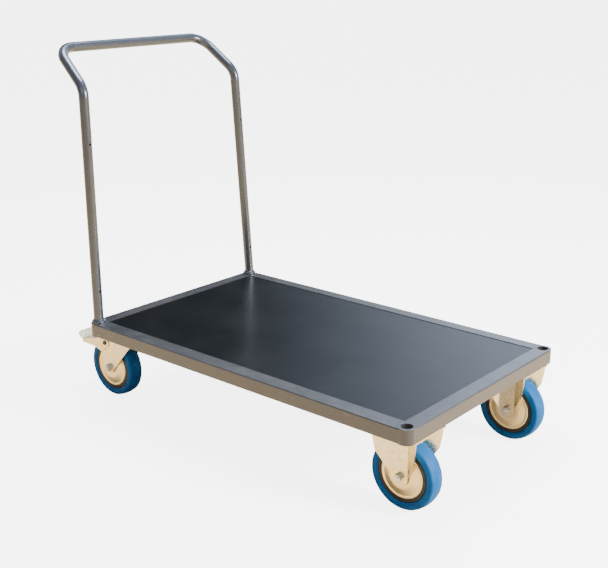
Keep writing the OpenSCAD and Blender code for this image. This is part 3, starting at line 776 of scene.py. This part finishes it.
# %% Round the edges of the steel pieces and the deck panel
SOFT_EDGES = {
    0.5 * MM: ["rail_left", "rail_right", "rail_front", "rail_rear"],
    0.7 * MM: [wheel + "_socket" for wheel in WHEELS] + ["stop_collar_left", "stop_collar_right"],
    0.45 * MM: ["front_left_fork", "front_right_fork", "rear_left_fork", "rear_right_fork",
                "rear_left_pedal", "rear_right_pedal",
                "rear_left_top_plate", "rear_right_top_plate"],
    0.6 * MM: ["front_axle_bolts", "rear_left_axle_bolt", "rear_right_axle_bolt",
               "caster_bolts", "caster_nuts"],
    0.4 * MM: ["rear_left_pedal_rivets", "rear_right_pedal_rivets",
               "caster_bearer_front", "caster_bearer_rear",
               "cross_member_front", "cross_member_rear", "deck"],
}
SHAPES = {"rear_left_pedal": round_tip, "rear_right_pedal": round_tip}
for radius, names in SOFT_EDGES.items():
    for name in names:
        piece = soften(name, radius, shape=SHAPES.get(name))
        print(piece.name, "has", len(piece.data.polygons), "faces")

# %% [markdown]
# ## Weld beads
# Short weld stitches lie on the seams between the end rails and the bearers that carry the
# casters, and a weld runs round each stop collar on the tube. A bead looks like overlapping
# coins. It starts as a round bar with many rings of vertices; every second ring is made
# smaller, a Subdivision Surface modifier rounds the ripples, and the bar is then laid along
# its seam. A ring weld is a torus with every third ring of vertices drawn in. Each bead takes
# the paint of the piece that it lies on.

# %% Make one stitch along the X axis, and one ring
STITCH_LENGTH = 26 * MM
BEAD_RADIUS = 2.2 * MM
RIPPLES = 9
BETWEEN_RIPPLES = 0.72
AT_BEAD_ENDS = 0.5
RING_BEAD_RADIUS = 1.5 * MM
RING_STEPS = 72
RING_DRAWN_IN = 0.4 * MM


def make_stitch():
    bpy.ops.object.select_all(action="DESELECT")
    bpy.ops.mesh.primitive_cylinder_add(
        vertices=8, radius=BEAD_RADIUS, depth=STITCH_LENGTH, rotation=(0, math.radians(90), 0))
    bead = bpy.context.object
    bead.name = "stitch"
    bpy.ops.object.transform_apply(location=True, rotation=True, scale=True)
    bpy.ops.object.mode_set(mode="EDIT")
    pick(bead, "EDGE", lambda e: abs(e.verts[0].co.x - e.verts[1].co.x) > TOUCHING)
    bpy.ops.mesh.subdivide(number_cuts=2 * RIPPLES - 1)
    step = STITCH_LENGTH / (2 * RIPPLES)
    pick(bead, "VERT", lambda v: round((v.co.x + STITCH_LENGTH / 2) / step) % 2 == 0)
    bpy.ops.transform.resize(
        value=(1, BETWEEN_RIPPLES, BETWEEN_RIPPLES), center_override=(0, 0, 0))
    pick(bead, "VERT", lambda v: abs(v.co.x) > STITCH_LENGTH / 2 - 0.1 * step)
    bpy.ops.transform.resize(value=(1, AT_BEAD_ENDS, AT_BEAD_ENDS), center_override=(0, 0, 0))
    bpy.ops.object.mode_set(mode="OBJECT")
    smooth_over(bead)
    return bead


def make_ring_weld(radius):
    bpy.ops.object.select_all(action="DESELECT")
    bpy.ops.mesh.primitive_torus_add(
        major_radius=radius, minor_radius=RING_BEAD_RADIUS,
        major_segments=RING_STEPS, minor_segments=8)
    ring = bpy.context.object
    ring.name = "ring_weld"
    bpy.ops.object.mode_set(mode="EDIT")
    step = 2 * math.pi / RING_STEPS
    pick(ring, "VERT", lambda v: round(math.atan2(v.co.y, v.co.x) / step) % 3 == 0)
    bpy.ops.transform.shrink_fatten(value=-RING_DRAWN_IN)
    bpy.ops.object.mode_set(mode="OBJECT")
    smooth_over(ring)
    return ring


def smooth_over(piece):
    """Rounds a bead's ripples with one level of subdivision."""
    rounded = piece.modifiers.new("rounded", "SUBSURF")
    rounded.levels = rounded.render_levels = 1
    bpy.ops.object.modifier_apply(modifier=rounded.name)
    bpy.ops.object.shade_smooth()


stitch_pattern = make_stitch()
CAP_LOW, CAP_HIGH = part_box("bar_end_caps")
CAP_INSET = 0.3 * MM
RING_CLEAR = 0.6 * MM
TUBE_RADIUS = (CAP_HIGH[0] - CAP_LOW[0]) / 2 + CAP_INSET
ring_pattern = make_ring_weld(TUBE_RADIUS + RING_CLEAR)
print("a stitch has", len(stitch_pattern.data.polygons), "faces")
print("a ring has", len(ring_pattern.data.polygons), "faces")


# %% Lay the stitches along the end rails and the rings on the collars
STITCH_PLACES = (-0.24, -0.08, 0.08, 0.24)


def lay_stitches():
    """Four stitches on each seam between an end rail and its bearer, seen from below."""
    count = 0
    for end, outer in (("front", 1), ("rear", 0)):
        low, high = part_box("caster_bearer_" + end)
        for number, along in enumerate(STITCH_PLACES, 1):
            place = Vector(((low, high)[outer][0], along * (high[1] - low[1]), low[2]))
            name = "weld_stitch_%s_%d" % (end, number)
            stitch = copy_to(stitch_pattern, name, place, math.pi / 2)
            join_to_cart(stitch, BODY_OF["rail_" + end], FRAME_PAINT)
            count += 1
    return count


print("stitches:", lay_stitches())
for side in ("left", "right"):
    collar = "stop_collar_" + side
    top = Vector((middle(collar).x, middle(collar).y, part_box(collar)[1][2]))
    ring = copy_to(ring_pattern, "weld_ring_" + side, top)
    join_to_cart(ring, BODY_OF[collar], finish_for(collar))
for pattern in (stitch_pattern, ring_pattern):
    bpy.data.objects.remove(pattern)
print("rings are on both collars")

# %% [markdown]
# ## Tyres
# The real tyre is moulded elastic rubber with a crowned tread and tight shoulders. It starts
# as a drum on the axle. Its tread is cut into bands that are pushed out, the shoulders are
# bevelled, and the end faces are inset to the bead, where a small step meets the wheel's rim.

# %% Make one tyre round the Y axis
TYRE_LOW, TYRE_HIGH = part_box("front_left_tyre")
TYRE_RADIUS = (TYRE_HIGH.x - TYRE_LOW.x) / 2
TYRE_HALF = (TYRE_HIGH.y - TYRE_LOW.y) / 2
SEAT_RADIUS = (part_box("front_left_rim")[1].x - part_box("front_left_rim")[0].x) / 2
# The bands of the tread, as distances from the middle and heights over the drum, in mm.
TREAD_CROWN = ((15.0, 0.4), (10.0, 1.1), (5.0, 1.9), (0.0, 2.2))
TREAD_EDGE = TYRE_RADIUS - 2.2 * MM
SHOULDER = 6.5 * MM
WALL_END = 4.0 * MM
# The steps of the bead, as widths and how far each moves inward along the axle.
BEAD_STEPS = ((1.2 * MM, 1.4 * MM), (2.8 * MM, 1.1 * MM))


def make_tyre():
    bpy.ops.object.select_all(action="DESELECT")
    bpy.ops.mesh.primitive_cylinder_add(
        vertices=128, radius=TREAD_EDGE, depth=2 * TYRE_HALF, end_fill_type="NGON",
        rotation=(math.radians(90), 0, 0))
    tyre = bpy.context.object
    tyre.name = "tyre"
    bpy.ops.object.transform_apply(location=True, rotation=True, scale=True)
    bpy.ops.object.mode_set(mode="EDIT")
    pick(tyre, "EDGE", across)
    bpy.ops.mesh.subdivide(number_cuts=7)
    for wide, out in TREAD_CROWN:
        pick(tyre, "VERT", lambda v: (
            abs(abs(v.co.y) - wide * MM) < 0.1 * MM and v.co.xz.length > 0.5 * TREAD_EDGE))
        scale_ring(1 + out * MM / TREAD_EDGE)
    pick(tyre, "EDGE", lambda e: (
        all(abs(abs(v.co.y) - TYRE_HALF) < TOUCHING for v in e.verts) and not across(e)))
    bpy.ops.mesh.bevel(offset=SHOULDER, segments=5, affect="EDGES", clamp_overlap=True)
    pick(tyre, "FACE", lambda f: len(f.verts) > 8)
    bpy.ops.mesh.inset(
        thickness=TREAD_EDGE - SHOULDER - SEAT_RADIUS - WALL_END, use_individual=True)
    for width, inward in BEAD_STEPS:
        bpy.ops.mesh.inset(thickness=width, use_individual=True)
        bpy.ops.transform.resize(
            value=(1, 1 - inward / TYRE_HALF, 1), center_override=(0, 0, 0))
    bpy.ops.mesh.delete(type="ONLY_FACE")
    edge_count = pick(tyre, "EDGE", lambda e: e.is_boundary)
    bpy.ops.mesh.bridge_edge_loops()
    bpy.ops.mesh.select_all(action="SELECT")
    bpy.ops.mesh.normals_make_consistent(inside=False)
    bpy.ops.object.mode_set(mode="OBJECT")
    bpy.ops.object.shade_smooth_by_angle(angle=math.radians(30))
    print("the tyre has", len(tyre.data.polygons), "faces")
    print(edge_count, "edges were bridged at its bore")
    return tyre


tyre_pattern = make_tyre()
for wheel in WHEELS:
    tyre = copy_to(tyre_pattern, wheel + "_moulded_tyre", AXLE[wheel])
    join_to_cart(tyre, BODY_OF[wheel + "_tyre"], BLUE_RUBBER)
    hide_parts(wheel + "_tyre")
bpy.data.objects.remove(tyre_pattern)
print("tyres run to", round(TYRE_RADIUS / MM, 1), "mm from the axle")

# %% [markdown]
# ## Guard discs
# The zinc discs on both sides of a wheel are spun from thin sheet. They rise in steps from a
# rolled edge to a flat crown round the hub. A filled circle is inset again and again, and
# each inner face is pushed a little further out. The middle is then opened, and a Solidify
# modifier gives the sheet its thickness.

# %% Make one disc round the Y axis
GUARD_LOW, GUARD_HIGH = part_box("front_left_guards")
GUARD_RADIUS = (GUARD_HIGH.x - GUARD_LOW.x) / 2
GUARD_EDGE = TYRE_HALF - 2.6 * MM
SHEET_THICKNESS = 1.0 * MM
ROLLED_EDGE = 3 * MM
# Each step is a width toward the axle and a rise away from the wheel's middle, in mm.
DISC_STEPS = [
    (0.6, 0.7), (1.2, 0.3), (2.0, -0.2), (1.6, -0.5), (1.8, 0.1), (2.4, 0.8), (4.0, 1.2),
    (4.4, 1.2), (3.4, 0.9), (1.2, 0.3), (1.4, 0.0), (5.0, 0.0),
    (2.0, 0.0), (1.6, -0.6), (7.0, 0.0),
]


def make_disc():
    bpy.ops.object.select_all(action="DESELECT")
    bpy.ops.mesh.primitive_circle_add(
        vertices=128, radius=GUARD_RADIUS, fill_type="NGON", rotation=(math.radians(90), 0, 0))
    disc = bpy.context.object
    disc.name = "disc"
    bpy.ops.object.transform_apply(location=True, rotation=True, scale=True)
    bpy.ops.object.mode_set(mode="EDIT")
    bpy.ops.mesh.select_all(action="SELECT")
    bpy.ops.transform.translate(value=(0, -GUARD_EDGE, 0))
    for inward, outward in DISC_STEPS:
        bpy.ops.mesh.inset(thickness=inward * MM)
        bpy.ops.transform.translate(value=(0, -outward * MM, 0))
    bpy.ops.mesh.delete(type="FACE")
    pick(disc, "EDGE", lambda e: e.is_boundary and e.verts[0].co.xz.length > 0.9 * GUARD_RADIUS)
    bpy.ops.mesh.extrude_region_move(TRANSFORM_OT_translate={"value": (0, ROLLED_EDGE, 0)})
    bpy.ops.mesh.select_all(action="SELECT")
    bpy.ops.mesh.normals_make_consistent(inside=False)
    bpy.ops.object.mode_set(mode="OBJECT")
    sheet = disc.modifiers.new("sheet", "SOLIDIFY")
    sheet.thickness = SHEET_THICKNESS
    sheet.offset = -1.0
    bpy.ops.object.modifier_apply(modifier=sheet.name)
    bpy.ops.object.shade_smooth_by_angle(angle=math.radians(40))
    reach = max(abs(v.co.y) for v in disc.data.vertices)
    print("the disc has", len(disc.data.polygons), "faces")
    print("it stands", round(reach / MM, 2), "mm from the wheel's middle")
    return disc


disc_pattern = make_disc()
mean_out = sum((disc_pattern.data.polygons[i].normal.y for i in range(128)), 0.0)
print("the first ring of faces looks toward", "-Y" if mean_out < 0 else "+Y")


# %% Put a pair of discs on each wheel
def flip_side(mesh):
    """Turns a mesh half round the Z axis, so that it faces +Y instead of -Y."""
    mesh.transform(Matrix.Rotation(math.pi, 4, "Z"))


for wheel in WHEELS:
    right = copy_to(disc_pattern, wheel + "_disc_right", (0, 0, 0))
    left = copy_to(disc_pattern, wheel + "_disc_left", (0, 0, 0))
    flip_side(left.data)
    for disc in (right, left):
        disc.data.transform(Matrix.Translation(AXLE[wheel]))
        join_to_cart(disc, BODY_OF[wheel + "_guards"], SPUN_ZINC[wheel])
        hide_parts(wheel + "_guards")
bpy.data.objects.remove(disc_pattern)
print("discs are on", len(WHEELS), "wheels")
